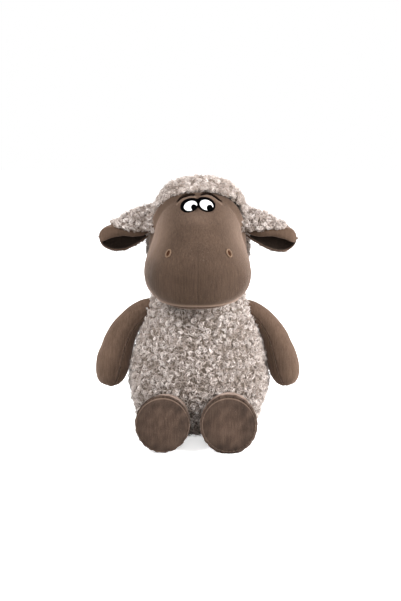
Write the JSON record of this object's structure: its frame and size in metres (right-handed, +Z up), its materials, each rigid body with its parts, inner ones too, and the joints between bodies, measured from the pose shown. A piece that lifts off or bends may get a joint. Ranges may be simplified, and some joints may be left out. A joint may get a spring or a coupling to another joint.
{
  "type": "plush sheep",
  "caption": "Seated plush sheep with a curly wool body and hood, a smooth brown muzzle, folded floppy ears, soft arms and legs with round soles, and embroidered eyes.",
  "frame": {"origin": "middle of the flat seat underneath, on the floor", "axes": "+Z up, out of the top of the head; -Y the way the face and the soles look; +X towards the sheep's own left hand"},
  "size_m": [0.245, 0.2078, 0.2999],
  "materials": {
    "curly_wool": "curly looped pile in warm grey with lighter tips, fully matte",
    "short_pile": "brushed short-pile velour in grey brown with a soft sheen",
    "fibre_filling": "loose white polyester fibre, hidden",
    "pellet_cloth": "plain woven inner bag, hidden",
    "black_thread": "satin-stitch embroidery",
    "white_thread": "satin-stitch embroidery",
    "brown_thread": "stitched thread in a darker and a lighter brown"
  },
  "bodies": {
    "torso": {"body_front_cover": "curly_wool", "body_back_cover": "curly_wool", "seat_patch": "short_pile", "body_stuffing": "fibre_filling", "pellet_bag": "pellet_cloth"},
    "head": {"wool_hood": "curly_wool", "face_panel_left": "short_pile", "face_panel_right": "short_pile", "chin_panel": "short_pile", "head_stuffing": "fibre_filling", "eye_surround": "black_thread", "eye_white_left": "white_thread", "eye_white_right": "white_thread", "pupil_left": "black_thread", "pupil_right": "black_thread", "nostril_left": "brown_thread", "nostril_right": "brown_thread", "brow_left": "brown_thread", "brow_right": "brown_thread"},
    "ear_left": {"ear_wool_left": "curly_wool", "ear_lining_left": "short_pile"},
    "ear_right": {"ear_wool_right": "curly_wool", "ear_lining_right": "short_pile"},
    "arm_left": {"arm_outer_panel_left": "short_pile", "arm_inner_panel_left": "short_pile", "arm_stuffing_left": "fibre_filling"},
    "arm_right": {"arm_outer_panel_right": "short_pile", "arm_inner_panel_right": "short_pile", "arm_stuffing_right": "fibre_filling"},
    "leg_left": {"leg_cover_left": "short_pile", "foot_sole_left": "short_pile", "leg_stuffing_left": "fibre_filling"},
    "leg_right": {"leg_cover_right": "short_pile", "foot_sole_right": "short_pile", "leg_stuffing_right": "fibre_filling"},
    "tail": {"tail": "curly_wool"}
  },
  "joints": [
    {"name": "head_turn", "type": "hinge", "parent": "torso", "child": "head", "pos_m": [0, 0, 0.196], "axis": [0, 0, 1], "range_deg": [-15, 15], "stiffness_Nm_per_rad": 0.05},
    {"name": "ear_left_flap", "type": "hinge", "parent": "head", "child": "ear_left", "pos_m": [0.06878, -0.018, 0.24156], "axis": [0, -1, 0], "range_deg": [-12, 30], "stiffness_Nm_per_rad": 0.01},
    {"name": "ear_right_flap", "type": "hinge", "parent": "head", "child": "ear_right", "pos_m": [-0.06878, -0.018, 0.24156], "axis": [0, 1, 0], "range_deg": [-12, 30], "stiffness_Nm_per_rad": 0.01},
    {"name": "arm_left_raise", "type": "hinge", "parent": "torso", "child": "arm_left", "pos_m": [0.05886, 0, 0.15208], "axis": [0, -1, 0], "range_deg": [0, 75]},
    {"name": "arm_right_raise", "type": "hinge", "parent": "torso", "child": "arm_right", "pos_m": [-0.05886, 0, 0.15208], "axis": [0, 1, 0], "range_deg": [0, 75]},
    {"name": "leg_left_dangle", "type": "hinge", "parent": "torso", "child": "leg_left", "pos_m": [0.03525, -0.04425, 0], "axis": [1, 0, 0], "range_deg": [0, 75]},
    {"name": "leg_right_dangle", "type": "hinge", "parent": "torso", "child": "leg_right", "pos_m": [-0.03525, -0.04425, 0], "axis": [1, 0, 0], "range_deg": [0, 75]},
    {"name": "tail_lift", "type": "hinge", "parent": "torso", "child": "tail", "pos_m": [0, 0.07517, 0.06468], "axis": [1, 0, 0], "range_deg": [0, 60]}
  ]
}
